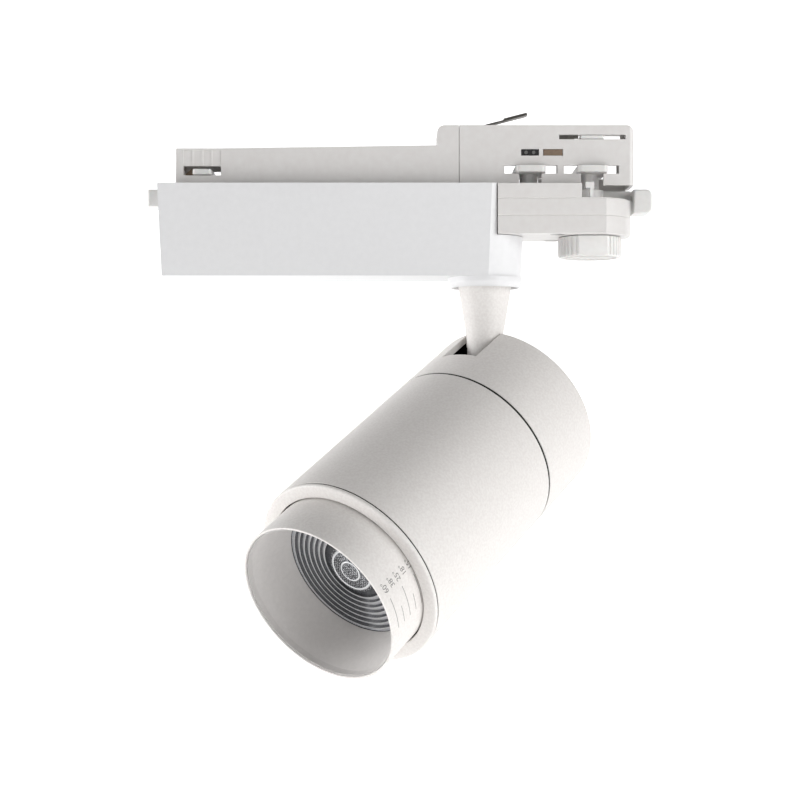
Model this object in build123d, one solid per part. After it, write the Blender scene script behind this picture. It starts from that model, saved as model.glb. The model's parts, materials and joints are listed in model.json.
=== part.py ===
from build123d import *
import math
import os

# Track spotlight with a zoom barrel, on a three-circuit track adapter with a long driver box.
# Millimetres, +Z up.  The origin is on the pan axis at the shoulder plane, where the driver box
# and the adapter bear on the underside of the track.  +X runs along the track to the selector
# knob, and -Y is the side with the lever recess.

os.makedirs("parts", exist_ok=True)

# ---- track side: driver box and adapter ---------------------------------------------------
INSERT_HALF = 8.5          # half thickness of everything that goes up into the track
BODY_TOP = 23.8            # height of the contact module in the track
INSERT_TOPS = (14.6, 15.8) # height of the long low insert at its left end and at its step
BOX_LEFT = -129.2
BOX_HALF = 15.5
BOX_DEPTH = 36.3
BOX_WALL = 2.0
NOSE_R, NOSE_X = 14.8, 1.0 # round end of the box, about the pan axis
FACET_TURN = 21.3          # degrees between the box's side and the facet that leads to the nose
SIDE_DRAFT, NOSE_DRAFT, END_DRAFT = 1.2, 1.9, 2.7      # degrees, narrower downwards
BASE_LEFT, BASE_RIGHT = 4.3, 57.8
BASE_DEPTH = 19.9
BASE_SPLITS = (-6.0, -12.7)
MODULE_LEFT, MODULE_RIGHT = -10.5, 58.7
LOCK_X = (17.6, 42.1)      # the two locking shafts, and the selector on the second
END_X = -112.4             # the locking shaft at the far end of the insert
WING_LONG, WING_HALF, WING_Z = 11.3, 6.0, (5.0, 7.6)
END_WING_LONG, END_WING_HALF, END_WING_Z = 10.0, 3.7, (4.1, 6.3)
SHAFT_R, SHAFT_BORE = 3.6, 2.2
CRANK_R = 5.5              # throw of the hidden cranks that tie the two wings together
KNOB_R, KNOB_Z = 12.6, (-28.1, -20.2)

# ---- stem -----------------------------------------------------------------------------------
STEM_TOP = -36.5
TUBE_R = 5.0               # M10 hollow swivel tube
PIVOT_Z = -82.6            # height of the tilt axis on the pan axis

# ---- lamp head, in its own frame: +Z along the beam, +Y towards the stem, +X the tilt axis ---
HEAD_R = 37.5
HEADING = 38.58            # degrees from -Y towards -X
TILT = 29.12               # degrees below level
PIVOT_BACK = 12.0          # tilt axis in front of the rear face
PIVOT_OFF = 15.4           # tilt axis off the beam axis
SEAM = 34.9                # end of the rear cap
TUBE_END = 116.0           # end of the body tube
BEZEL_END = 118.0
BEZEL_BORE, LIP_BORE = 33.3, 32.4
SEAM_GAP, FRONT_GAP = 1.0, 0.6             # black rings show in these two joints
RIM = 136.5                # front rim of the zoom barrel, pulled right out
BARREL_R = 31.9
LENS_SEAT = 114.7
LENS_R = 27.0
SLOT_HALF, SLOT_END, SLOT_FLOOR = 8.2, 20.1, 7.2
RUNNING = 0.05             # radial clearance of shafts that turn in their holes


# ---- small helpers ----------------------------------------------------------------------------
def block(x0, x1, y0, y1, z0, z1):
    return Pos((x0 + x1) / 2, (y0 + y1) / 2, (z0 + z1) / 2) * Box(x1 - x0, y1 - y0, z1 - z0)


def post(radius, z0, z1, x=0.0, y=0.0):
    return Pos(x, y, (z0 + z1) / 2) * Cylinder(radius, z1 - z0)


def pipe(outer, inner, z0, z1, x=0.0, y=0.0):
    return post(outer, z0, z1, x, y) - post(inner, z0 - 1, z1 + 1, x, y)


def turned(*outline):
    """A solid of revolution about Z from (radius, height) corners."""
    return revolve(make_face(Plane.XZ * Polyline(*outline, close=True)), Axis.Z)


def cross_plate(half_long, half_wide, z0, z1, x, corner):
    """A plate that lies across the track, with rounded corners."""
    plate = block(x - half_wide, x + half_wide, -half_long, half_long, z0, z1)
    return fillet(plate.edges().filter_by(Axis.Z), corner)


def group(*solids):
    return Compound(children=list(solids))


def save(node, shape):
    export_step(shape, f"parts/{node}.step")


def screw(head_r, head_z, shank_r, tip_z, x, y):
    """A pan-head screw with its head between head_z[0] and head_z[1]."""
    return post(head_r, head_z[0], head_z[1], x, y) + post(shank_r, min(tip_z, head_z[0]),
                                                            max(tip_z, head_z[1]), x, y)


# ---- driver box ---------------------------------------------------------------------------------
def box_outline(inset, depth=0.0):
    """Plan of the box at a depth: square at the left, then a flat facet and a round nose."""
    def lean(draft):
        return inset + depth * math.tan(math.radians(draft))
    turn = math.radians(FACET_TURN)
    half, nose_r, left = BOX_HALF - lean(SIDE_DRAFT), NOSE_R - lean(NOSE_DRAFT), BOX_LEFT + lean(END_DRAFT)
    facet_x = NOSE_X + nose_r / math.sin(turn) - half / math.tan(turn)
    tx, ty = NOSE_X + nose_r * math.sin(turn), nose_r * math.cos(turn)
    edges = Polyline((tx, ty), (facet_x, half), (left, half), (left, -half), (facet_x, -half), (tx, -ty))
    nose = ThreePointArc((tx, -ty), (NOSE_X + nose_r, 0), (tx, ty))
    return Pos(0, 0, -depth) * make_face(edges + nose)


def box_solid(inset, depth):
    return loft([box_outline(inset), box_outline(inset, depth)], ruled=True)


NOTCH_X, NOTCH_Z = BASE_LEFT - 0.3, -BASE_DEPTH - 0.2
BAY_RIGHT, BAY_FLOOR = -96.0, -8.5
SWING_R = 14.6             # inside radius of the end lever's thumb tab path
WIRE_X, LEAD_X = -17.0, 7.0
BASE_SCREWS_IN = [(7.7, -6.0), (7.7, 6.0)]
BASE_SCREWS_OUT = [(28.0, -11.2), (28.0, 11.2)]
BOARD_POSTS = [(x, y) for x in (-117.0, -22.0) for y in (-9.0, 9.0)]
FLOOR_Z = -BOX_DEPTH + BOX_WALL


def driver_housing():
    shell = box_solid(0, BOX_DEPTH)
    inside = box_solid(BOX_WALL, -FLOOR_Z)
    inside -= block(NOTCH_X - BOX_WALL, 40, -30, 30, NOTCH_Z - BOX_WALL, 10)
    bay_floor = block(BOX_LEFT, BAY_RIGHT, -30, 30, BAY_FLOOR - 1.5, BAY_FLOOR)
    bay_wall = block(BAY_RIGHT - 1.5, BAY_RIGHT, -30, 30, BAY_FLOOR - 1.5, -2.05)
    shell -= inside - bay_floor - bay_wall
    shell -= block(NOTCH_X, 40, -30, 30, NOTCH_Z, 10)
    corner = block(BOX_LEFT - 5, END_X + 4.2, -4.2, 30, BAY_FLOOR, 1)
    shell -= corner - post(SWING_R, BAY_FLOOR - 1, 2, END_X)
    shell -= block(BOX_LEFT - 5, END_X + 4.2, -4.2, 30, -5.4, -2.05) - post(8, -9, 2, END_X)
    shell -= post(6.1, -BOX_DEPTH - 1, FLOOR_Z + 1)
    shell -= Pos(3, 0, -16) * Rot(0, 90, 0) * Cylinder(3.5, 6)
    for x, y in BASE_SCREWS_IN:
        shell -= post(1.7, NOTCH_Z - 4, NOTCH_Z + 1, x, y)
    for x, y in BOARD_POSTS:
        shell += pipe(2.6, 1.2, FLOOR_Z - 0.2, -31.0, x, y)
    return shell


def housing_lid():
    lid = extrude(box_outline(BOX_WALL + 0.15), amount=2.0, dir=(0, 0, -1))
    lid &= block(BOX_LEFT, NOTCH_X - BOX_WALL - 0.15, -20, 20, -3, 1)
    corner = block(BOX_LEFT - 5, END_X + 4.2, -4.2, 30, -3, 1)
    lid -= corner - post(SWING_R, -4, 2, END_X)
    lid -= post(3.0 + RUNNING, -3, 1, END_X)
    lid -= post(3.0, -3, 1, WIRE_X)
    for x in INSERT_SCREWS:
        lid -= post(1.6, -3, 1, x)
    return lid


# ---- long insert ----------------------------------------------------------------------------------
INSERT_LEFT, STEP_X = -122.8, -19.4
INSERT_SCREWS = (-90.0, -40.0)
POCKET, POCKET_TOP = (-119.8, -105.0), 7.6
HOLLOW_HALF, RELIEF_HALF = 7.0, 7.9        # half widths of the hollow and of the wings' relief


def insert_profile(inset, right):
    """Side view of the low insert: level over the end pocket, then rising to the step."""
    left, (low, high) = INSERT_LEFT + inset, INSERT_TOPS
    bottom = -1.0 if inset else 0.0
    return Polyline((left, bottom), (left, low - inset), (POCKET[1], low - inset), (STEP_X, high - inset),
                    (right, high - inset), (right, bottom), close=True)


def track_insert():
    right = MODULE_LEFT - 0.2
    low = extrude(make_face(Plane.XZ * insert_profile(0, right)), amount=INSERT_HALF, both=True)
    high = block(STEP_X, right, -INSERT_HALF, INSERT_HALF, 0, BODY_TOP)
    high = fillet(high.edges().filter_by(Axis.Y).group_by(Axis.Z)[-1].sort_by(Axis.X)[0], 3.0)
    body = low + high
    body -= extrude(make_face(Plane.XZ * insert_profile(1.5, right - 1.5)), amount=HOLLOW_HALF, both=True)
    body -= block(STEP_X + 1.5, right - 1.5, -HOLLOW_HALF, HOLLOW_HALF, 10, BODY_TOP - 1.5)
    z0, z1 = END_WING_Z[0] - 0.2, POCKET_TOP
    body -= block(POCKET[0], POCKET[1], -10, 10, z0, z1)
    body -= block(POCKET[0] - 1, POCKET[1] + 1, -RELIEF_HALF, RELIEF_HALF, z0, z1)
    body -= block(INSERT_LEFT - 1, END_X, -5.7, 5.7, z0, z1)
    body -= block(POCKET[0], POCKET[1], -10, -INSERT_HALF + 0.5, z1, 13.9)
    for rib in range(3):
        x = POCKET[0] + (POCKET[1] - POCKET[0]) * (rib + 1) / 4
        body += block(x - 0.4, x + 0.4, -INSERT_HALF + 0.15, -INSERT_HALF + 0.7, z1, 13.9)
    for x in INSERT_SCREWS:
        body += pipe(3.0, 1.25, 0, INSERT_TOPS[0] - 1.4, x)
    return body


def end_lever():
    """The thumb tab, its arm under the lid, and the hub round the shaft."""
    hub = pipe(5.5, 2.95, -5.1, -2.3, END_X)
    arm = block(-130.0, END_X - 4, -3.6, 3.6, -5.1, -2.3) - post(4.5, -6, 0, END_X)
    tab = block(-134.6, -129.7, -5.5, 5.5, -8.1, -1.3)
    tab = fillet(tab.edges().filter_by(Axis.Z), 0.8)
    tab = fillet(tab.edges().group_by(Axis.Z)[-1] + tab.edges().group_by(Axis.Z)[0], 0.4)
    return hub + arm + tab


def end_shaft():
    return post(2.9, -7.8, END_WING_Z[0], END_X) + post(4.2, -2.25, -2.05, END_X)


def end_lock_wing():
    return cross_plate(END_WING_LONG, END_WING_HALF, END_WING_Z[0], END_WING_Z[1], END_X, 1.2)


def end_earth_blade():
    """A brass wedge carried on the side of the end wing."""
    left, right = END_X - 7.2, END_X - END_WING_HALF
    outline = Polyline((left, 4.1), (right, 4.1), (right, 7.2), (left + 2.4, 7.2), (left, 5.0), close=True)
    return extrude(make_face(Plane.XZ * outline), amount=3.9, both=True)


# ---- contact module ---------------------------------------------------------------------------
WINDOWS, WINDOW_Z = ((7.3, 28.3), (30.9, 52.7)), (4.6, 7.8)
REAR_WINDOW_TOP, REAR_WIDER = 10.8, 1.2
SLOT_LOW, SLOT_HIGH = (13.9, 30.5, 11.7, 14.3), (28.9, 55.4, 18.2, 20.0)
REAR_SLOT_TOP = 22.2
SPRING_ROOT = (-6.0, 23.3)
SPRING_ANGLE, SPRING_LONG = 14.4, 23.6


def adapter_body():
    """The contact module, with rounded right-hand corners; its rear windows reach higher."""
    plan = block(MODULE_LEFT, MODULE_RIGHT, -INSERT_HALF, INSERT_HALF, 0, BODY_TOP)
    side = fillet(plan.edges().filter_by(Axis.Y).group_by(Axis.Z)[-1].sort_by(Axis.X)[-1], 3.0)
    plan = fillet(plan.edges().filter_by(Axis.Z).sort_by(Axis.X)[-2:], 2.0)
    shell = plan & side
    shell -= block(MODULE_LEFT + 1.5, MODULE_RIGHT - 1.5, -HOLLOW_HALF, HOLLOW_HALF, -1, BODY_TOP - 1.5)
    for (x0, x1), x in zip(WINDOWS, LOCK_X):
        shell -= block(x0, x1, -10, 0, WINDOW_Z[0], WINDOW_Z[1])
        shell -= block(x0, x1 + REAR_WIDER, 0, 10, WINDOW_Z[0], REAR_WINDOW_TOP)
        shell -= block(x0 - 1, x1 + 1, -RELIEF_HALF, RELIEF_HALF, WINDOW_Z[0], WINDOW_Z[1])
        shell -= block(x - 4.5, x + 4.5, -10, 10, -1, 5.0)
    x0, x1, z0, z1 = SLOT_LOW
    shell -= block(x0, 21.0, -10, -6, z0, z1)
    shell -= block(22.6, x1, -10, -6, z0, z1)
    x0, x1, z0, z1 = SLOT_HIGH
    shell -= block(x0, x1, -10, 0, z0, z1)
    shell -= block(x0, x1, 0, 10, z0, REAR_SLOT_TOP)
    x, z = SPRING_ROOT
    shell -= block(x - 2.6, x + 9.2, -2.9, 2.9, z - 1.3, 25)
    shell += block(x - 3.5, x + 10.2, -3.9, 3.9, z - 2.4, z - 1.2)
    return shell


def earth_spring():
    """A steel leaf, doubled towards its tip, on a rolled eye; it is pressed down by the track."""
    x, z = SPRING_ROOT
    leaf = block(0, SPRING_LONG, -2.3, 2.3, -0.25, 0.25) + block(14.0, SPRING_LONG, -2.3, 2.3, 0.2, 0.8)
    eye = Rot(90, 0, 0) * Cylinder(0.7, 4.6)
    return Pos(x, 0, z) * Rot(0, -SPRING_ANGLE, 0) * (leaf + eye)


def lock_wing(x, bore):
    return cross_plate(WING_LONG, WING_HALF, WING_Z[0], WING_Z[1], x, 1.9) - post(bore, 0, 20, x)


def lock_shaft(x, bore):
    """A shaft with its crank disc and crank pin below."""
    pin_x, pin_y = x - CRANK_R * math.sqrt(0.5), CRANK_R * math.sqrt(0.5)
    shaft = post(SHAFT_R, -9.2, WING_Z[0], x) + post(7.2, -9.2, -8.0, x)
    return shaft + post(1.0, -11.4, -9.0, pin_x, pin_y) - post(bore, -12, 20, x)


def link_bar():
    offset = CRANK_R * math.sqrt(0.5)
    ends = [(x - offset, offset) for x in LOCK_X]
    bar = block(ends[0][0], ends[1][0], offset - 1.9, offset + 1.9, -11.0, -9.5)
    for x, y in ends:
        bar += post(1.9, -11.0, -9.5, x, y)
    for x, y in ends:
        bar -= post(1.0 + RUNNING, -12, -9, x, y)
    return bar


def lock_lever():
    """Hub, flat arm and rounded thumb tab; its front edge lies on the shaft's centre line."""
    x = LOCK_X[1]
    hub = pipe(5.6, SHAFT_R + 0.02, -5.3, -1.2, x)
    arm = block(x + 4.0, 60.0, 0.2, 4.6, -5.3, -3.3) - post(4.6, -6, 0, x)
    arm += block(x + 4.0, 58.6, 0.2, 1.6, -3.4, -1.2) - post(4.6, -6, 0, x)
    tab = block(59.0, 66.4, -5.6, 5.6, -10.8, -1.2)
    tab = fillet(tab.edges().filter_by(Axis.Y).sort_by(Axis.X)[-2:], 2.4)
    tab = fillet(tab.edges().filter_by(Axis.Z), 0.8)
    return hub + arm + tab


# ---- adapter base -------------------------------------------------------------------------------
def base_layer(z0, z1):
    """One of the three stacked mouldings, with a fine chamfer that shows the joint lines."""
    half = BOX_HALF
    corners = [(BASE_LEFT, -half), (46.8, -half), (54.6, -10.3), (BASE_RIGHT, -4.2)]
    outline = Polyline(*corners, *[(x, -y) for x, y in reversed(corners)], close=True)
    layer = extrude(Pos(0, 0, z0) * make_face(outline), amount=z1 - z0)
    return chamfer(layer.edges().group_by(Axis.Z)[0] + layer.edges().group_by(Axis.Z)[-1], 0.2)


def adapter_base_top():
    layer = base_layer(BASE_SPLITS[0], 0)
    x = LOCK_X[1]
    layer -= block(37.2, 70, -20, 5.2, -5.7, 1)
    layer -= post(6.1, -5.7, 1, x)
    for shaft in LOCK_X:
        layer -= post(SHAFT_R + RUNNING, -7, 1, shaft)
    layer -= post(3.0, -7, 1, LEAD_X)
    for sx, sy in BASE_SCREWS_IN + BASE_SCREWS_OUT:
        layer -= post(1.3, -7, -1.5, sx, sy)
    return layer


def adapter_base_mid():
    layer = base_layer(BASE_SPLITS[1], BASE_SPLITS[0])
    layer -= block(8.9, 51.5, -8.6, 8.6, -13, -7.4)
    for shaft in LOCK_X:
        layer -= post(SHAFT_R + RUNNING, -14, 1, shaft)
    layer -= post(2.6, -14, 1, LEAD_X)
    for sx, sy in BASE_SCREWS_IN + BASE_SCREWS_OUT:
        layer -= post(1.6, -14, 1, sx, sy)
    return layer


def adapter_base_bottom():
    layer = base_layer(-BASE_DEPTH, BASE_SPLITS[1])
    layer -= block(BASE_LEFT + 1.8, 47.5, -13.5, 13.5, -18.2, -12)
    layer += post(5.0, -19, -12.7, LOCK_X[1])
    layer -= post(1.7 + RUNNING, -25, 0, LOCK_X[1])
    for sx, sy in BASE_SCREWS_IN:
        layer += post(3.1, -19, BASE_SPLITS[1], sx, sy)
        layer -= post(1.7, -25, 0, sx, sy)
    for sx, sy in BASE_SCREWS_OUT:
        layer += post(3.8, -19, BASE_SPLITS[1], sx, sy)
        layer -= post(1.7, -25, 0, sx, sy) + post(2.9, -25, -18.0, sx, sy)
    layer -= Pos(5, 0, -16) * Rot(0, 90, 0) * Cylinder(3.0, 6)
    return layer


def lever_catch():
    foot = block(40.4, 41.8, -15.2, -12.6, -5.7, -1.9)
    return foot + block(38.7, 42.0, -15.2, -12.6, -2.0, 0.4)


def selector_knob():
    """A ribbed knob with a flat panel at the front."""
    z0, z1 = KNOB_Z
    knob = post(KNOB_R, z0, z1)
    knob = chamfer(knob.edges().group_by(Axis.Z)[0], 0.7)
    ribs = 40
    for rib in range(ribs):
        angle = 360 * (rib + 0.5) / ribs
        if abs(angle - 270) > 30:
            knob -= Rot(0, 0, angle) * Pos(KNOB_R + 0.1, 0, (z0 + z1) / 2) * Cylinder(0.6, z1 - z0 + 2)
    knob -= block(-8, 8, -20, -KNOB_R + 1.3, z0 - 1, z1 + 1)
    knob -= post(KNOB_R - 2.0, z0 - 1, z0 + 0.8) - block(-9, 9, -2.0, 2.0, z0 - 2, z0 + 2)
    knob -= post(1.72, z0 + 2, z1 + 1)
    return Pos(LOCK_X[1], 0, 0) * knob


def selector_shaft():
    return post(1.7, KNOB_Z[0] + 2.0, SLOT_HIGH[2] + 0.2, LOCK_X[1])


def selector_blade():
    return cross_plate(8.3, 4.7, SLOT_HIGH[2] + 0.2, SLOT_HIGH[3] - 0.2, LOCK_X[1], 0.8)


# ---- swivel and stem ------------------------------------------------------------------------------
def swivel_ring():
    """A ring under the box with a thin skirt that hangs round the top of the stem."""
    return turned((11.6, -BOX_DEPTH), (14.9, -BOX_DEPTH), (14.9, -38.2), (14.3, -39.5), (13.7, -40.3),
                  (13.1, -40.3), (13.1, -37.8), (11.6, -37.8))


def stem():
    """A cast cone, flattened into a tongue where it enters the lamp head."""
    cone = turned((0, STEM_TOP), (11.2, STEM_TOP), (10.5, -40.5), (7.6, -57.8), (7.3, -60.5),
                  (7.2, PIVOT_Z), (0, PIVOT_Z))
    eye = Pos(0, 0, PIVOT_Z) * Rot(0, 90, 0) * Cylinder(7.2, 14.4)
    tongue = Rot(0, 0, -HEADING) * (cone + eye - block(4.6, 12, -9, 9, -95, -64)
                                   - block(-12, -4.6, -9, 9, -95, -64))
    pin_hole = Pos(0, 0, PIVOT_Z) * Rot(0, 0, -HEADING) * Rot(0, 90, 0) * Cylinder(2.5 + RUNNING, 40)
    return tongue - pin_hole - post(2.0, -78.5, 0) - post(TUBE_R, -50, 0)


# ---- lamp head, written in the head's frame ---------------------------------------------------
def head_place():
    heading, tilt = math.radians(HEADING), math.radians(TILT)
    along = Vector(-math.sin(heading) * math.cos(tilt), -math.cos(heading) * math.cos(tilt), -math.sin(tilt))
    across = Vector(math.cos(heading), -math.sin(heading), 0)
    up = along.cross(across)
    origin = Vector(0, 0, PIVOT_Z) - up * PIVOT_OFF - along * PIVOT_BACK
    return Plane(origin=origin, x_dir=across, z_dir=along).location


CAP_BORE, CAP_PLATE = HEAD_R - 2.5, 3.0
STEM_SLOT = (-SLOT_HALF, SLOT_HALF, SLOT_FLOOR, 60, -2, SLOT_END)


def rear_cap():
    """The end plate of the cap, with its three screw posts."""
    cap = post(CAP_BORE, 0, CAP_PLATE)
    for angle in (30, 150, 270):
        cap += Rot(0, 0, angle) * pipe(3.6, 1.25, CAP_PLATE - 0.1, 28.8, 28.0)
    return cap - block(*STEM_SLOT)


def cap_wall():
    """The side wall of the cap, open where the stem enters."""
    wall = pipe(HEAD_R, CAP_BORE, 0, SEAM)
    outer = wall.edges().filter_by(GeomType.CIRCLE).filter_by(lambda e: e.radius > HEAD_R - 0.1)
    return fillet(outer.sort_by(Axis.Z)[0], 1.2) - block(*STEM_SLOT)


def ring_points(radius, angles):
    return [(radius * math.cos(math.radians(a)), radius * math.sin(math.radians(a))) for a in angles]


CAP_SCREWS = ring_points(28.0, (30, 150, 270))
LED_SCREWS = ring_points(16.0, (0, 120, 240))
BRACKET_SCREWS = [(-9.5, 3.0), (9.5, 3.0)]
RODS = ring_points(28.5, (0, 180))
ROD_R, ROD_END = 1.0, 99.8


def heat_sink():
    """Rear plate, radial fins on a core, and the front plate that carries the light source."""
    sink = post(34.85, 29.0, 32.0) + post(9.5, 31.9, 78.1) + post(34.85, 78.0, 82.0)
    fins = 18
    for fin in range(fins):
        sink += Rot(0, 0, 360 * (fin + 0.5) / fins) * block(8.5, 33.0, -0.7, 0.7, 31.9, 78.1)
    for x, y in CAP_SCREWS:
        sink -= post(3.4, 31.95, 77, x, y) + post(1.7, 28, 33, x, y)
    for x, y in LED_SCREWS:
        sink -= post(1.25, 78.9, 83, x, y)
    for x, y in BRACKET_SCREWS:
        sink -= post(1.25, 28, 34, x, y)
    for x, y in RODS:
        sink -= post(ROD_R, 78.5, 83, x, y)
    return sink


def pivot_bracket():
    """A steel fork: a plate on the heat sink with two ears that hold the tilt pin."""
    plate = block(-13, 13, 0, 27.5, 26.6, 29.0)
    plate = fillet(plate.edges().filter_by(Axis.Z), 3)
    bracket = plate
    for side in (-1, 1):
        x0, x1 = sorted((side * 5.3, side * 7.3))
        ear = block(x0, x1, PIVOT_OFF - 7, PIVOT_OFF + 7, PIVOT_BACK, 26.7)
        eye = Pos((x0 + x1) / 2, PIVOT_OFF, PIVOT_BACK) * Rot(0, 90, 0) * Cylinder(7, 2.0)
        bracket += ear + eye
    bracket -= Pos(0, PIVOT_OFF, PIVOT_BACK) * Rot(0, 90, 0) * Cylinder(2.5, 40)
    for x, y in BRACKET_SCREWS:
        bracket -= post(1.6, 25, 30, x, y)
    return bracket


def pivot_pin():
    pin = Rot(0, 90, 0) * Cylinder(2.48, 16.4)
    head = Pos(-8.0, 0, 0) * Rot(0, 90, 0) * Cylinder(4.0, 1.0)
    tail = Pos(7.9, 0, 0) * Rot(0, 90, 0) * Cylinder(3.6, 1.0)
    return Pos(0, PIVOT_OFF, PIVOT_BACK) * (pin + head + tail)


def pivot_washers():
    washers = []
    for x in (-4.95, 4.95):
        disc = Rot(0, 90, 0) * (Cylinder(5.5, 0.6) - Cylinder(2.55, 2))
        washers.append(Pos(x, PIVOT_OFF, PIVOT_BACK) * disc)
    return group(*washers)


def body_tube():
    tube = pipe(HEAD_R, 35.0, SEAM + SEAM_GAP, TUBE_END)
    rims = tube.edges().filter_by(GeomType.CIRCLE).filter_by(lambda e: e.radius > HEAD_R - 0.1)
    return fillet(rims, 0.3)


def front_bezel():
    """A spigot that enters the tube, and a lip that closes on the barrel."""
    spigot = pipe(34.85, BEZEL_BORE, 104.9, TUBE_END) + pipe(34.85, LIP_BORE, 114.6, TUBE_END + 0.8)
    lip = pipe(HEAD_R, LIP_BORE, TUBE_END + FRONT_GAP, BEZEL_END)
    outer = lip.edges().filter_by(GeomType.CIRCLE).filter_by(lambda e: e.radius > HEAD_R - 0.1)
    lip = fillet(outer.sort_by(Axis.Z)[-1], 0.9)
    return spigot + lip


def led_board():
    board = post(20.0, 82.0, 83.6)
    for x, y in LED_SCREWS:
        board -= post(1.5, 81, 85, x, y)
    return board


def led_holder():
    """A black ring that clamps the light source, with a raised collar round the emitter."""
    holder = pipe(20.0, 18.6, 83.6, 84.8) + pipe(20.0, 8.0, 84.6, 86.0) + pipe(12.5, 8.0, 85.9, 87.0)
    for x, y in LED_SCREWS:
        holder -= post(1.5, 80, 90, x, y)
    return holder


def zoom_barrel():
    """The sliding tube with an inside flange that cannot pass the bezel, and holes for the rods."""
    tube = pipe(BARREL_R, 30.7, 102.0, RIM - 0.6)
    flange = pipe(34.6, BARREL_R - 0.1, 102.0, 104.6)
    for angle in (90, 210, 330):
        flange -= Rot(0, 0, angle) * block(33.5, 36, -4.1, 4.1, 101, 106)
    return tube + flange


def guide_shoes():
    shoe = pipe(34.95, 33.0, 102.0, 104.6)
    return group(*[shoe & (Rot(0, 0, a) * block(33.6, 40, -4.0, 4.0, 101, 106)) for a in (90, 210, 330)])


def glare_cone():
    """The smooth white cone in front of the lens, with the thin lip that caps the barrel."""
    return turned((LENS_R, LENS_SEAT), (LENS_R + 1.4, LENS_SEAT), (30.6, 133.0), (30.6, RIM - 0.6),
                  (BARREL_R, RIM - 0.6), (BARREL_R, RIM - 0.25), (BARREL_R - 0.2, RIM), (31.3, RIM),
                  (31.2, RIM - 0.1))


def lens_outline():
    """Half section of the stepped lens: a dome, a valley, and sawtooth rings out to the rim."""
    dome_top, dome_edge, valley = 116.3, 9.6, 112.3
    steps, first, last = 7, 12.6, 26.4
    points = [(0, 109.6), (0, dome_top)]
    for r in (2.5, 4.5, 6.5, 8.3, dome_edge):
        points.append((r, dome_top - r * r / 62.0))
    points.append((10.4, valley))
    points.append((first, valley))
    pitch = (last - first) / steps
    for step in range(steps):
        r0 = first + pitch * step
        base = valley - 0.25 + 2.0 * (step + 1) / steps
        points.append((r0 + 0.25, base + 0.9))
        points.append((r0 + pitch, base))
    points += [(last, LENS_SEAT - 0.3), (27.2, LENS_SEAT - 0.3), (27.2, 110.2), (12.0, 110.2), (11.0, 109.6)]
    return points


def zoom_lens():
    return turned(*lens_outline())


def lens_carrier():
    """A black ring that holds the lens from behind; its two sleeves run on the guide rods."""
    carrier = pipe(30.6, 26.0, 106.0, 110.0) + pipe(30.6, 27.4, 109.9, LENS_SEAT - 0.1)
    for x, y in RODS:
        carrier += post(2.0, 97.0, 106.1, x, y)
    for x, y in RODS:
        carrier -= post(ROD_R + RUNNING, 96, 120, x, y)
    return carrier


# ---- write the track side -------------------------------------------------------------------------
save("driver_housing", driver_housing())
save("housing_lid", housing_lid())
save("track_insert", track_insert())
save("adapter_body", adapter_body())
save("adapter_base_top", adapter_base_top())
save("adapter_base_mid", adapter_base_mid())
save("adapter_base_bottom", adapter_base_bottom())
save("swivel_ring", swivel_ring())
save("lever_catch", lever_catch())
save("pan_screws", group(
    *[screw(2.3, (-3.5, -2.0), 1.2, 8.0, x, 0) for x in INSERT_SCREWS],
    *[screw(2.3, (-29.4, -27.9), 1.2, -33.5, x, y) for x, y in BOARD_POSTS]))
save("base_screws", group(
    *[screw(2.8, (NOTCH_Z - 3.8, NOTCH_Z - 2.0), 1.3, -1.6, x, y) for x, y in BASE_SCREWS_IN],
    *[screw(2.6, (-19.7, -18.0), 1.3, -1.6, x, y) for x, y in BASE_SCREWS_OUT]))
save("swivel_bush", pipe(6.0, TUBE_R + RUNNING, -BOX_DEPTH, FLOOR_Z) + pipe(9.0, TUBE_R + RUNNING,
                                                                           FLOOR_Z, FLOOR_Z + 1.0))

# contacts in the module
save("live_contact", block(22.8, 30.3, -8.3, -6.9, 11.8, 14.2))
save("contact_block", block(14.0, 20.9, -8.1, -2.0, 11.8, 14.2))
save("contact_pins", group(*[Pos(x, -8.2, 13.0) * Rot(90, 0, 0) * Cylinder(0.7, 0.2) for x in (15.9, 18.9)]))
thin_end = block(29.1, 36.6, -8.2, -7.9, 18.4, 19.8)   # leaves room for the turning selector blade
save("phase_contact", block(29.1, 35.2, -8.2, -6.9, 18.4, 19.8) + thin_end)

# driver electronics
board = block(-121.0, -18.0, -11.8, 11.8, -31.0, -29.4)
for bx, by in BOARD_POSTS:
    board -= post(1.3, -32, -29, bx, by)
save("driver_board", board)
save("transformer", block(-76.0, -52.0, -8.5, 8.5, -29.4, -14.0))
save("board_parts", group(post(5.0, -29.4, -12.5, -93.0, 0), post(4.0, -29.4, -16.0, -42.0, 5.0),
                          block(-86.0, -82.0, -6.0, 6.0, -29.4, -16.0),
                          block(-48.0, -36.0, -9.0, -3.0, -29.4, -26.5)))
save("terminal_block", block(-31.0, -23.0, -6.0, 6.0, -29.4, -20.0))

# end lock, on the long insert
save("end_lever", end_lever())
save("end_shaft", end_shaft())
save("end_lock_wing", end_lock_wing())
save("end_earth_blade", end_earth_blade())

# main lock, its link and the second wing
save("lock_lever", lock_lever())
save("lock_shaft", lock_shaft(LOCK_X[1], SHAFT_BORE))
save("right_lock_wing", lock_wing(LOCK_X[1], SHAFT_BORE))
save("centre_shaft", lock_shaft(LOCK_X[0], 1.0))
save("centre_lock_wing", lock_wing(LOCK_X[0], 1.0))
save("link_bar", link_bar())
save("earth_spring", earth_spring())

# selector
save("selector_knob", selector_knob())
save("selector_shaft", selector_shaft())
save("selector_blade", selector_blade())

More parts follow.
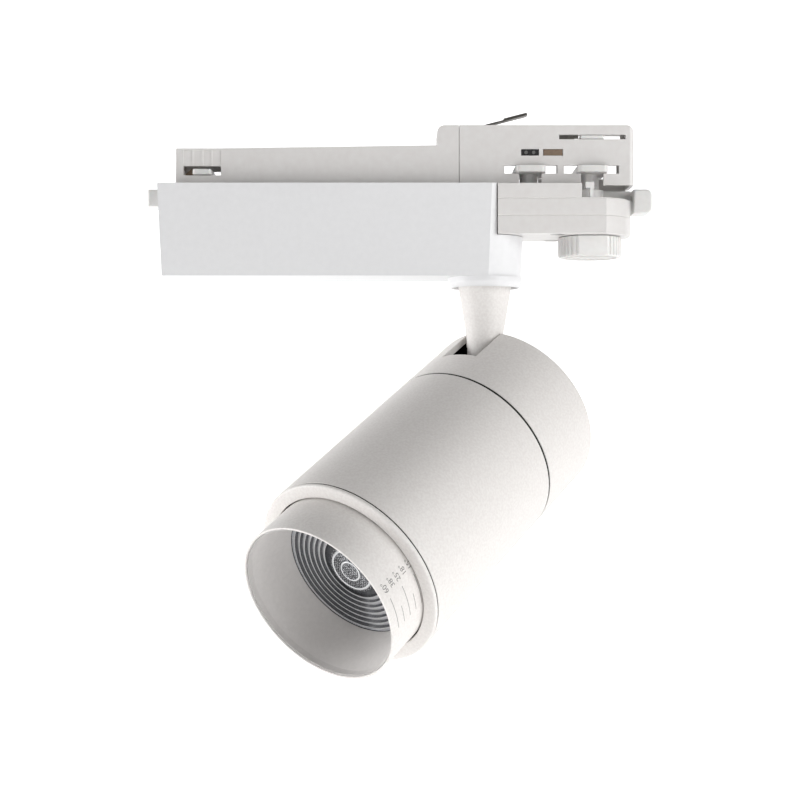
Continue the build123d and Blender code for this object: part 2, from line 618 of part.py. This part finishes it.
# stem
save("stem", stem())
save("swivel_tube", pipe(TUBE_R, 3.2, -49.9, -25.5))
save("swivel_washer", pipe(8.5, TUBE_R + 0.05, -33.2, -32.4))
save("swivel_nut", extrude(Pos(0, 0, -32.3) * RegularPolygon(8.0, 6), amount=5.0) - post(TUBE_R, -40, -20))
save("stem_lead", post(1.5, -78.0, -23.5))

# ---- write the head -------------------------------------------------------------------------------
HEAD = head_place()
head_nodes = {
    "rear_cap": rear_cap(),
    "cap_wall": cap_wall(),
    "seam_rings": group(pipe(37.2, 33.4, SEAM, SEAM + SEAM_GAP),
                        pipe(37.2, 34.95, TUBE_END, TUBE_END + FRONT_GAP)),
    "body_tube": body_tube(),
    "heat_sink": heat_sink(),
    "pivot_bracket": pivot_bracket(),
    "pivot_pin": pivot_pin(),
    "pivot_washers": pivot_washers(),
    "head_screws": group(*[screw(2.6, (24.8, 26.6), 1.25, 33.5, x, y) for x, y in BRACKET_SCREWS],
                         *[screw(2.6, (32.0, 33.8), 1.25, 14.0, x, y) for x, y in CAP_SCREWS],
                         *[screw(2.6, (86.0, 87.8), 1.25, 79.0, x, y) for x, y in LED_SCREWS]),
    "led_board": led_board(),
    "led_emitter": post(6.5, 83.6, 84.5),
    "led_holder": led_holder(),
    "front_bezel": front_bezel(),
    "friction_ring": pipe(BEZEL_BORE, BARREL_R + RUNNING, 110.0, 113.0),
    "guide_rods": group(*[post(ROD_R, 78.5, ROD_END, x, y) for x, y in RODS]),
    "zoom_barrel": zoom_barrel(),
    "guide_shoes": guide_shoes(),
    "glare_cone": glare_cone(),
    "zoom_lens": zoom_lens(),
    "lens_carrier": lens_carrier(),
}
for node, shape in head_nodes.items():
    save(node, HEAD * shape)
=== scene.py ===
import json
import math

import bmesh
import bpy
from mathutils import Matrix, Vector


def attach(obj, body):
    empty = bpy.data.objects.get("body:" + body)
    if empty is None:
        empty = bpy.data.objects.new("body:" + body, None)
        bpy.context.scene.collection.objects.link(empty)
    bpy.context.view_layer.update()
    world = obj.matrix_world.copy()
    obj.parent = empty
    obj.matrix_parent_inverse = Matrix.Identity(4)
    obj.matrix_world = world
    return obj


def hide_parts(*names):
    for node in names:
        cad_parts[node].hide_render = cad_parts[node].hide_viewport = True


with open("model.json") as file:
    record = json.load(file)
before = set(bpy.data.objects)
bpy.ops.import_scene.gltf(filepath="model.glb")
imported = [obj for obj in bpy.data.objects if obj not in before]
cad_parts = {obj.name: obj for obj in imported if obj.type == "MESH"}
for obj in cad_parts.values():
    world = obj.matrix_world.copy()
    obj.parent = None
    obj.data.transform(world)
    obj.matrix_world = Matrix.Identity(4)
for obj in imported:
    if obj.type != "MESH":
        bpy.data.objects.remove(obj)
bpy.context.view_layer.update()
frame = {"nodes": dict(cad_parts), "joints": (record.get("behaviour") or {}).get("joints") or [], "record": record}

# Track spotlight: the looks, built round the fixed frame.  Lengths are written in millimetres and
# turned to metres as each mesh is made.
MM = 0.001
TURN = 2 * math.pi
STEPS, SMALL_STEPS = 192, 128          # facets round the lamp head, and round the pan ring
SHARP = 32.0                           # degrees: edges sharper than this aren't shaded smooth
WELD = 0.001 * MM                      # points closer than this are one


# ---- the lamp head's own frame: +Z along the beam, +Y towards the stem, +X the tilt axis --------
joints = {joint["name"]: joint for joint in frame["joints"]}
across = Vector(joints["head_tilt"]["axis"])
along = -Vector(joints["zoom_slide"]["axis"])
up = along.cross(across)
PIVOT_OFF, PIVOT_BACK = 15.4, 12.0
rear_centre = Vector(joints["head_tilt"]["pos_m"]) - up * PIVOT_OFF * MM - along * PIVOT_BACK * MM
HEAD = Matrix.Translation(rear_centre) @ Matrix((across, up, along)).transposed().to_4x4()
HERE = Matrix.Identity(4)

HEAD_R = 37.5
SEAM, TUBE_END, BEZEL_END, RIM = 34.9, 116.0, 118.0, 136.5
BARREL_R, BARREL_BORE = 31.9, 30.7
LENS_R, LENS_SEAT = 27.0, 114.7


# ---- materials ---------------------------------------------------------------------------------
def linear(hex_code):
    """An sRGB hex colour as linear RGBA."""
    values = [int(hex_code[i:i + 2], 16) / 255 for i in (1, 3, 5)]
    return [v / 12.92 if v <= 0.04045 else ((v + 0.055) / 1.055) ** 2.4 for v in values] + [1.0]


def add(tree, kind, settings=None, **links):
    """Adds a node; settings are its properties or socket values, links are sockets by name."""
    node = tree.nodes.new(kind)
    for key, value in (settings or {}).items():
        if key in node.inputs:
            node.inputs[key].default_value = value
        else:
            setattr(node, key, value)
    for key, source in links.items():
        tree.links.new(source, node.inputs[key.replace("_", " ")])
    return node


def material(name, colour, settings, build=None):
    """A Principled material; build, where given, adds the nodes of its pattern."""
    made = bpy.data.materials.new(name)
    made.use_nodes = True
    tree = made.node_tree
    shader = tree.nodes["Principled BSDF"]
    shader.inputs["Base Color"].default_value = linear(colour)
    for key, value in settings.items():
        shader.inputs[key].default_value = value
    if build:
        place = add(tree, "ShaderNodeTexCoord").outputs["Object"]
        build(tree, shader, place)
    return made


def grain(size, low, high, colour_low, colour_high, bump, bump_size, roughness=None):
    """Colour mottling of one size and a surface relief of another, both in millimetres."""
    def build(tree, shader, place):
        mottle = add(tree, "ShaderNodeTexNoise", {"Scale": 1 / (size * MM), "Detail": 3.0},
                     Vector=place)
        ramp = add(tree, "ShaderNodeValToRGB", Fac=mottle.outputs["Fac"])
        ramp.color_ramp.elements[0].position = low
        ramp.color_ramp.elements[1].position = high
        ramp.color_ramp.elements[0].color = linear(colour_low)
        ramp.color_ramp.elements[1].color = linear(colour_high)
        tree.links.new(ramp.outputs["Color"], shader.inputs["Base Color"])
        relief = add(tree, "ShaderNodeTexNoise", {"Scale": 1 / (bump_size * MM), "Detail": 2.0},
                     Vector=place)
        raised = add(tree, "ShaderNodeBump", {"Strength": 1.0, "Distance": bump * MM},
                     Height=relief.outputs["Fac"])
        tree.links.new(raised.outputs["Normal"], shader.inputs["Normal"])
        if roughness:
            spread = add(tree, "ShaderNodeMapRange",
                         {"To Min": roughness[0], "To Max": roughness[1]},
                         Value=relief.outputs["Fac"])
            tree.links.new(spread.outputs["Result"], shader.inputs["Roughness"])
    return build


BEAD_PITCH = 0.7


def dice_painted_glint(tree, shader, place):
    """Round dice in rows under the dome, each lighter at its middle as a painted glint and dark between."""
    cells = add(tree, "ShaderNodeTexVoronoi", {"Scale": 1 / (BEAD_PITCH * MM), "Randomness": 0.35},
                Vector=place)
    ramp = add(tree, "ShaderNodeValToRGB", Fac=cells.outputs["Distance"])
    ramp.color_ramp.elements[0].position = 0.15
    ramp.color_ramp.elements[1].position = 0.6
    ramp.color_ramp.elements[0].color = linear("#B9BABD")
    ramp.color_ramp.elements[1].color = linear("#3C3D40")
    tree.links.new(ramp.outputs["Color"], shader.inputs["Base Color"])
    raised = add(tree, "ShaderNodeBump", {"Strength": 0.6, "Distance": 0.12 * MM, "invert": True},
                 Height=cells.outputs["Distance"])
    tree.links.new(raised.outputs["Normal"], shader.inputs["Normal"])


# Polyester powder coat on cast and extruded aluminium: matt, with a fine sand texture.
powder_coat = material("powder_coat_white", "#DEDAD7",
                       {"Roughness": 0.5, "Specular IOR Level": 0.45},
                       grain(0.9, 0.35, 0.65, "#D8D4D1", "#E0DDDA", 0.02, 0.42, (0.46, 0.58)))
# The same coat on the inside of the cone, a little smoother, its colour darker than the outside as painted shade
# for the cone's hollow.
powder_coat_shaded_inside = material("powder_coat_shaded_inside", "#CCC9C7", {"Roughness": 0.5},
                              grain(1.5, 0.3, 0.7, "#CAC7C5", "#CFCCCA", 0.008, 0.5))
# Moulded polycarbonate of the driver box: satin, from a spark-eroded tool.
housing_plastic = material("polycarbonate_moulded", "#DCDCDD", {"Roughness": 0.42, "IOR": 1.58},
                           grain(2.5, 0.3, 0.7, "#DBDBDC", "#DEDEDF", 0.006, 0.3, (0.38, 0.48)))
# Moulded polycarbonate of the adapter: the same plastic from a smoother tool, slightly warmer.
adapter_plastic = material("polycarbonate_smooth", "#D6D3D1", {"Roughness": 0.34, "IOR": 1.58},
                           grain(3.0, 0.3, 0.7, "#D4D1CF", "#D8D6D4", 0.005, 0.45, (0.3, 0.4)))
# Moulded nylon of the levers, wings, shafts and knob: a cleaner white, slightly waxy.
nylon = material("nylon_moulded", "#DAD9D7", {"Roughness": 0.38, "IOR": 1.53,
                                             "Subsurface Weight": 0.05, "Subsurface Scale": 0.001},
                 grain(1.8, 0.3, 0.7, "#D8D7D5", "#DCDBD9", 0.006, 0.35))
# Matt black inside the cap as painted shade, so that the hollow seen through the stem's slot is dark.
shade_black_inside = material("matt_black_painted_shade", "#121212",
                       {"Roughness": 0.75, "Specular IOR Level": 0.3},
                       grain(0.8, 0.3, 0.7, "#0F0F0F", "#171717", 0.01, 0.3))
# Flock and EPDM of the joint rings and the barrel's friction ring: black and dull.
black_rubber = material("epdm_black", "#141414", {"Roughness": 0.85, "Specular IOR Level": 0.3},
                        grain(0.4, 0.3, 0.7, "#101010", "#1B1B1B", 0.02, 0.2))
# Black nylon of the lens carrier, the bushes and the contact block: satin.
black_plastic = material("nylon_black", "#1B1A1A", {"Roughness": 0.5, "IOR": 1.53},
                         grain(1.0, 0.3, 0.7, "#161515", "#201F1F", 0.006, 0.3))
# The fork that holds the tilt pin: steel with a black electrocoat, a little glossy.
black_steel = material("electrocoated_steel", "#1C1B1B", {"Roughness": 0.32},
                       grain(0.9, 0.3, 0.7, "#181717", "#222121", 0.004, 0.4))
# Cold-rolled spring strip: grey steel with a fine mottle.
spring_steel = material("spring_steel_rolled", "#77746F", {"Metallic": 1.0, "Roughness": 0.35},
                        grain(0.6, 0.3, 0.7, "#6B6863", "#85827C", 0.004, 0.25, (0.28, 0.45)))
# Zinc-plated steel of the screws, pins, guide rods and swivel tube: bright, faintly mottled.
zinc_steel = material("zinc_plated_steel", "#A8A8A6", {"Metallic": 1.0, "Roughness": 0.3},
                      grain(0.8, 0.3, 0.7, "#9C9C9A", "#B2B2B0", 0.003, 0.3, (0.24, 0.4)))
# Phosphor bronze of the live contact and the earth blade: brown and even.
bronze = material("phosphor_bronze", "#8F7C6B", {"Metallic": 0.7, "Roughness": 0.45},
                  grain(1.2, 0.3, 0.7, "#8B7969", "#958270", 0.004, 0.3, (0.4, 0.5)))
# Bare aluminium of the heat sink and the light source's board: grey and a little rough.
aluminium = material("aluminium_cast", "#B4B4B5", {"Metallic": 1.0, "Roughness": 0.42},
                     grain(0.8, 0.3, 0.7, "#A9A9AA", "#BBBBBC", 0.01, 0.5))
# Green solder resist on the driver's board.
board_green = material("solder_resist_green", "#1F5A36", {"Roughness": 0.35},
                       grain(1.5, 0.4, 0.6, "#1B5231", "#23633C", 0.004, 0.4))
# Moulded epoxy of the electronic parts: black and satin.
epoxy_black = material("epoxy_moulded_black", "#1A1A1C", {"Roughness": 0.4},
                       grain(0.8, 0.3, 0.7, "#161618", "#202022", 0.006, 0.3))
# Silicone with phosphor over the light source: yellow when it is off.
phosphor = material("silicone_phosphor", "#E8C65A", {"Roughness": 0.45},
                    grain(0.3, 0.3, 0.7, "#E2BD4B", "#EECF6C", 0.005, 0.2))
# Silicone sleeve of the lead in the stem.
silicone = material("silicone_sleeve", "#D5D4D0", {"Roughness": 0.55},
                    grain(1.0, 0.3, 0.7, "#D0CFCB", "#DAD9D5", 0.004, 0.3))
# Clear moulded acrylic: the stepped lens.
acrylic = material("acrylic_clear", "#F2F3F5",
                   {"Roughness": 0.06, "IOR": 1.49, "Transmission Weight": 0.85})
# The facets of the same lens, a light grey made half metallic as painted reflection, so that they read as silvered
# bands.
lens_facets_painted_reflection = material("acrylic_facets_painted_reflection", "#D9DADC",
                       {"Metallic": 0.45, "Roughness": 0.24, "IOR": 1.49},
                       grain(0.8, 0.3, 0.7, "#D1D2D4", "#E0E1E3", 0.004, 0.5))
# Its steep risers and valley, painted dark grey as painted shade where the black holder shows through.
lens_risers_painted_shade = material("acrylic_risers_painted_shade", "#4E4F52", {"Roughness": 0.12, "IOR": 1.49},
                       grain(0.6, 0.3, 0.7, "#454649", "#58595C", 0.004, 0.4))
# Its dome, clear over the grid of dice in the light source: drawn dark, with a painted glint on each bead.
lens_dome_painted_glint = material("acrylic_dome_painted_glint", "#77787B",
                     {"Metallic": 0.35, "Roughness": 0.1, "IOR": 1.49}, dice_painted_glint)
# Pad-printed ink of the beam-angle scale.
ink = material("pad_print_grey", "#7A7978", {"Roughness": 0.6},
               grain(0.3, 0.35, 0.65, "#747372", "#83827F", 0.002, 0.2))

FINISHES = {
    "white_housing": housing_plastic, "white_adapter": adapter_plastic, "white_powder": powder_coat,
    "white_lever": nylon, "black_plastic": black_plastic, "black_rubber": black_rubber,
    "spring_steel": spring_steel, "zinc_steel": zinc_steel, "brass": bronze, "aluminium": aluminium,
    "circuit_board": board_green, "component_black": epoxy_black, "phosphor": phosphor,
    "clear_pmma": acrylic, "lead_silicone": silicone,
}
SLOT_OF = {part["node"]: part["material_slot"] for part in frame["record"]["subparts"]}
BODY_OF = {node: body for body, nodes in frame["record"]["behaviour"]["bodies"].items()
           for node in nodes}


# ---- making pieces -------------------------------------------------------------------------------
def finish_piece(bm, name, finish, body, slot, nodes=(), sharp=SHARP):
    """Turns a bmesh into a shaded piece that rides on a body and stands for CAD nodes."""
    mesh = bpy.data.meshes.new(name)
    bm.to_mesh(mesh)
    bm.free()
    mesh.shade_smooth()
    mesh.set_sharp_from_angle(angle=math.radians(sharp))
    mesh.materials.append(finish)
    piece = bpy.data.objects.new(name, mesh)
    bpy.context.scene.collection.objects.link(piece)
    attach(piece, body)
    if nodes:
        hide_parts(*nodes)
    return piece


def soften(piece, width):
    """Rounds the piece's edges as a tool or a coat of paint does."""
    bevel = piece.modifiers.new("edges", "BEVEL")
    bevel.width = width * MM
    bevel.segments = 2
    bevel.limit_method = "ANGLE"
    bevel.angle_limit = math.radians(30.0)
    bevel.harden_normals = True


def from_cad(node, edge=0.0):
    """A welded copy of a CAD node, with its flat faces joined up and its edges softened."""
    bm = bmesh.new()
    bm.from_mesh(frame["nodes"][node].data)
    bmesh.ops.remove_doubles(bm, verts=bm.verts, dist=2 * WELD)
    bmesh.ops.dissolve_limit(bm, angle_limit=math.radians(0.6), verts=bm.verts, edges=bm.edges)
    slot = SLOT_OF[node]
    piece = finish_piece(bm, node + "_shell", FINISHES[slot], BODY_OF[node], slot, [node])
    if edge:
        soften(piece, edge)
    return piece


def spin(bm, steps, place):
    """Turns the section in the bmesh round Z into a closed surface and puts it in its place."""
    bmesh.ops.spin(bm, geom=bm.verts[:] + bm.edges[:], cent=(0, 0, 0), axis=(0, 0, 1), angle=TURN,
                   steps=steps, use_merge=True)
    bmesh.ops.remove_doubles(bm, verts=bm.verts, dist=WELD)
    bmesh.ops.recalc_face_normals(bm, faces=bm.faces)
    bm.transform(place)


def turned(name, corners, finish, node, place=HEAD, steps=STEPS):
    """A solid of revolution from (radius, height, corner rounding) points."""
    bm = bmesh.new()
    points = [bm.verts.new((corner[0] * MM, 0, corner[1] * MM)) for corner in corners]
    for first, second in zip(points, points[1:] + points[:1]):
        bm.edges.new((first, second))
    for point, corner in zip(points, corners):
        if len(corner) > 2:
            bmesh.ops.bevel(bm, geom=[point], offset=corner[2] * MM, offset_type="OFFSET",
                            segments=4, profile=0.5, affect="VERTICES", material=-1)
    spin(bm, steps, place)
    return finish_piece(bm, name, finish, BODY_OF[node], SLOT_OF[node], [node])


def paint_faces(piece, finish, chosen):
    """Gives a second finish to the faces picked by their radius and height in the head's frame."""
    piece.data.materials.append(finish)
    inverse = HEAD.inverted()
    for face in piece.data.polygons:
        centre = inverse @ face.center / MM
        if chosen(centre.to_2d().length, centre.z):
            face.material_index = 1


# ---- the CAD nodes that stay as they are take their finish ------------------------------------
for node, part in frame["nodes"].items():
    part.data.materials.clear()
    part.data.materials.append(black_steel if node == "pivot_bracket" else FINISHES[SLOT_OF[node]])

# ---- track side ----------------------------------------------------------------------------------
for node, edge in (("driver_housing", 0.35), ("housing_lid", 0.2), ("track_insert", 0.25),
                   ("adapter_body", 0.2), ("adapter_base_top", 0.1), ("adapter_base_mid", 0.1),
                   ("adapter_base_bottom", 0.1), ("lever_catch", 0.2), ("lock_lever", 0.2),
                   ("end_lever", 0.2), ("right_lock_wing", 0.3), ("centre_lock_wing", 0.3),
                   ("end_lock_wing", 0.3), ("end_earth_blade", 0.1), ("selector_blade", 0.15),
                   ("selector_knob", 0.12), ("earth_spring", 0.08), ("live_contact", 0.1),
                   ("contact_block", 0.15), ("phase_contact", 0.1), ("stem", 0.4)):
    from_cad(node, edge=edge)

turned("swivel_ring_shell",
       [(11.6, -36.3), (14.9, -36.3), (14.9, -38.2, 0.4), (14.3, -39.5, 0.4), (13.7, -40.3, 0.2),
        (13.1, -40.3, 0.2), (13.1, -37.8), (11.6, -37.8)],
       housing_plastic, "swivel_ring", place=HERE, steps=SMALL_STEPS)

# ---- lamp head -------------------------------------------------------------------------------
# The end plate and the wall are one casting, so their joint keeps sharp edges and doesn't show.
# The inside faces of the cap and its wall are painted black as painted shade for the hollow.
paint_faces(from_cad("rear_cap"), shade_black_inside, lambda radius, height: height > 2.9)
paint_faces(from_cad("cap_wall"), shade_black_inside,
            lambda radius, height: radius < 35.1 and 0.5 < height < 34)   # not the rear face
turned("body_tube_shell",
       [(35.0, SEAM + 1.0), (HEAD_R, SEAM + 1.0, 0.3), (HEAD_R, TUBE_END, 0.2), (35.0, TUBE_END)],
       powder_coat, "body_tube")
turned("front_bezel_shell",
       [(33.3, 104.9), (34.85, 104.9), (34.85, TUBE_END + 0.6), (HEAD_R, TUBE_END + 0.6, 0.15),
        (HEAD_R, BEZEL_END, 0.9), (32.4, BEZEL_END, 0.25), (32.4, 114.6), (33.3, 114.6)],
       powder_coat, "front_bezel")
turned("zoom_barrel_shell",
       [(BARREL_BORE, 102.0), (34.6, 102.0, 0.3), (34.6, 104.6, 0.3), (BARREL_R, 104.6),
        (BARREL_R, RIM - 0.6), (BARREL_BORE, RIM - 0.6)],
       powder_coat, "zoom_barrel")
# The cone's inside takes the darker coat, painted shade in the hollow; the rim keeps the outside coat.
cone = turned("glare_cone_shell",
              [(LENS_R, LENS_SEAT, 0.15), (LENS_R + 1.4, LENS_SEAT), (30.6, 133.0),
               (30.6, RIM - 0.6), (BARREL_R, RIM - 0.6), (BARREL_R, RIM, 0.28), (31.2, RIM, 0.2)],
              powder_coat_shaded_inside, "glare_cone")
# The rim and its lip carry the outside coat.
paint_faces(cone, powder_coat, lambda radius, height: height > RIM - 0.25 or radius > 31.5)

# ---- stepped lens ----------------------------------------------------------------------------
LENS_RINGS, RING_FIRST, RING_LAST, VALLEY = 7, 12.6, 26.9, 112.3
RING_PITCH = (RING_LAST - RING_FIRST) / LENS_RINGS
RISER, RING_HIGH = 0.42, 0.9           # width of a dark riser, and rise of a bright facet
DOME_TOP, DOME_EDGE, DOME_CURVE = 116.0, 9.6, 62.0
RIDGES, RIDGE_HIGH, RIDGE_WIDE = (8.3, 3.9), 0.28, 0.4     # two raised rings on the dome


def lens_section():
    """Half section of the lens from its edge inwards: sawtooth rings, a valley and the dome."""
    points = [(27.2, 110.2), (27.2, LENS_SEAT - 0.3), (RING_LAST, LENS_SEAT - 0.3)]
    for ring in reversed(range(LENS_RINGS)):
        inner = RING_FIRST + RING_PITCH * ring
        base = VALLEY - 0.25 + 2.0 * (ring + 1) / LENS_RINGS
        for k in range(7):
            height = base + RING_HIGH * math.sin(k / 6 * math.pi / 2)
            points.append((inner + RING_PITCH - 0.02 - k / 6 * (RING_PITCH - RISER), height))
        points.append((inner + 0.1, base - 0.15))
    points += [(RING_FIRST, VALLEY), (DOME_EDGE + 0.5, VALLEY), (DOME_EDGE, 114.4)]
    for k in range(32, -1, -1):
        radius = DOME_EDGE * k / 32
        ridge = max(RIDGE_HIGH * math.exp(-((radius - at) / RIDGE_WIDE) ** 2) for at in RIDGES)
        points.append((radius, DOME_TOP - radius * radius / DOME_CURVE + ridge))
    return points


def lens_finish(radius):
    """0 for a facet or ridge in painted reflection, 1 for a riser or the valley in painted shade, 2 for the dome.
    """
    if radius < DOME_EDGE:
        return 0 if min(abs(radius - at) for at in RIDGES) < RISER else 2
    if radius < RING_FIRST or radius > RING_LAST:
        return 1
    return 1 if (radius - RING_FIRST) % RING_PITCH < RISER else 0


def lens():
    """The lens's front as an open surface, with the dome and the rings in finishes of painted reflection, painted
    shade and a painted glint.
    """
    bm = bmesh.new()
    points = [bm.verts.new((radius * MM, 0, height * MM)) for radius, height in lens_section()]
    for first, second in zip(points, points[1:]):
        bm.edges.new((first, second))
    spin(bm, STEPS, HERE)
    if sum(face.normal.z for face in bm.faces) < 0:
        bmesh.ops.reverse_faces(bm, faces=bm.faces)
    # Facets and ridges take the painted reflection, risers and valley the painted shade, the dome its painted
    # glint.
    for face in bm.faces:
        face.material_index = lens_finish(face.calc_center_median().to_2d().length / MM)
    bm.transform(HEAD)
    piece = finish_piece(bm, "zoom_lens_shell", lens_facets_painted_reflection, "zoom", "clear_pmma", ["zoom_lens"],
                         sharp=50.0)
    piece.data.materials.append(lens_risers_painted_shade)
    piece.data.materials.append(lens_dome_painted_glint)


lens()


# ---- beam-angle scale printed on the barrel ----------------------------------------------------
MARKS = ("15°", "18°", "25°", "38°", "60°")
MARK_FIRST, MARK_LAST = 118.2, 132.8
LINE_FROM, LINE_SHORT, LINE_TO = -84.0, -94.0, -106.0      # degrees round the barrel
LINE_WIDE = 0.24
TEXT_FROM, TEXT_HIGH, CAP_SHARE = -80.0, 2.1, 0.7          # capitals are 0.7 of the text's size
INK_LIFT = 0.03


def wrap(bm, start, height):
    """Bends a flat print, x round the barrel and y along it, on to the barrel's surface."""
    for vert in bm.verts:
        angle = math.radians(start) + vert.co.x / (BARREL_R * MM)
        radius = (BARREL_R + INK_LIFT) * MM + vert.co.z
        vert.co = Vector((-math.sin(angle) * radius, math.cos(angle) * radius,
                          height * MM + vert.co.y))
    bm.transform(HEAD)


def scale_marks():
    """A line round the barrel and a figure for each beam angle, all in one printed piece."""
    whole = bmesh.new()
    for index, words in enumerate(MARKS):
        height = MARK_FIRST + (MARK_LAST - MARK_FIRST) * index / (len(MARKS) - 1)
        begin = LINE_SHORT if index % 2 else LINE_FROM
        length = math.radians(begin - LINE_TO) * BARREL_R * MM
        line = bmesh.new()
        bmesh.ops.create_grid(line, x_segments=24, y_segments=1, size=0.5)
        bmesh.ops.scale(line, vec=(length, LINE_WIDE * MM, 1), verts=line.verts)
        bmesh.ops.translate(line, vec=(length / 2, 0, 0), verts=line.verts)
        wrap(line, LINE_TO, height)
        text = bpy.data.curves.new("text", "FONT")
        text.body = words
        text.size = TEXT_HIGH * MM / CAP_SHARE
        holder = bpy.data.objects.new("text", text)
        bpy.context.scene.collection.objects.link(holder)
        bpy.context.view_layer.update()
        flat = bpy.data.meshes.new_from_object(holder)
        bpy.data.objects.remove(holder)
        letters = bmesh.new()
        letters.from_mesh(flat)
        bmesh.ops.translate(letters, vec=(0, -TEXT_HIGH * MM / 2, 0), verts=letters.verts)
        wrap(letters, TEXT_FROM, height)
        for part in (line, letters):
            made = bpy.data.meshes.new("part")
            part.to_mesh(made)
            part.free()
            whole.from_mesh(made)
    bmesh.ops.remove_doubles(whole, verts=whole.verts, dist=WELD)
    return finish_piece(whole, "beam_angle_scale", ink, "zoom", "black_plastic")


scale_marks()

# ---- studio: lengths in metres -----------------------------------------------------------------
scene = bpy.context.scene
scene.view_settings.view_transform = "Standard"
scene.view_settings.look = "None"


def sweep():
    """A pale floor that curves up into a backdrop."""
    low, back, bend, half = -0.42, 1.7, 0.7, 4.0
    bm = bmesh.new()
    start = bm.verts.new((-half, -3.0, low))
    foot = bm.verts.new((-half, back, low))
    head = bm.verts.new((-half, back, 3.2))
    bm.edges.new((start, foot))
    bm.edges.new((foot, head))
    bmesh.ops.bevel(bm, geom=[foot], offset=bend, offset_type="OFFSET", segments=24, profile=0.5,
                    affect="VERTICES", material=-1)
    made = bmesh.ops.extrude_edge_only(bm, edges=bm.edges[:])
    moved = [item for item in made["geom"] if isinstance(item, bmesh.types.BMVert)]
    bmesh.ops.translate(bm, vec=(2 * half, 0, 0), verts=moved)
    bmesh.ops.recalc_face_normals(bm, faces=bm.faces)
    mesh = bpy.data.meshes.new("studio_floor")
    bm.to_mesh(mesh)
    bm.free()
    mesh.shade_smooth()
    mesh.materials.append(material("studio_paper", "#F4F4F4", {
        "Roughness": 0.9, "Specular IOR Level": 0.2,
        "Emission Color": (1.0, 1.0, 1.0, 1.0), "Emission Strength": 0.65}))
    floor = bpy.data.objects.new("studio_floor", mesh)
    scene.collection.objects.link(floor)


def softbox(name, place, aim, size, watts):
    """A soft rectangular light that faces a point."""
    light = bpy.data.lights.new(name, "AREA")
    light.shape = "RECTANGLE"
    light.size, light.size_y = size
    light.energy = watts
    lamp = bpy.data.objects.new(name, light)
    lamp.location = place
    lamp.rotation_euler = (Vector(aim) - Vector(place)).to_track_quat("-Z", "Y").to_euler()
    scene.collection.objects.link(lamp)


sweep()
middle = (-0.03, 0.0, -0.08)
softbox("key_right", (0.95, -0.75, 0.25), middle, (0.9, 1.0), 10.5)
softbox("left", (-1.22, -0.02, 0.02), middle, (0.7, 0.7), 12.0)
softbox("front", (-0.2, -1.6, -0.25), middle, (1.2, 0.9), 0.7)
softbox("low", (0.1, -0.5, -0.41), middle, (1.2, 0.6), 0.8)


# A little light from all round, so that no shadow is empty.
world = bpy.data.worlds.new("studio")
world.use_nodes = True
world.node_tree.nodes["Background"].inputs["Color"].default_value = (1.0, 1.0, 1.0, 1.0)
world.node_tree.nodes["Background"].inputs["Strength"].default_value = 0.08
scene.world = world

# The camera stands about level with the tilt pin, a little to the left of the pan axis.
EYE, FOCAL = (-34.05, -605.1, -85.1), 67.79                # millimetres
camera = bpy.data.cameras.new("camera")
camera.sensor_width = 36.0
camera.lens = FOCAL
eye = bpy.data.objects.new("camera", camera)
eye.location = Vector(EYE) * MM
eye.rotation_euler = (math.radians(90), 0, 0)
scene.collection.objects.link(eye)
scene.camera = eye
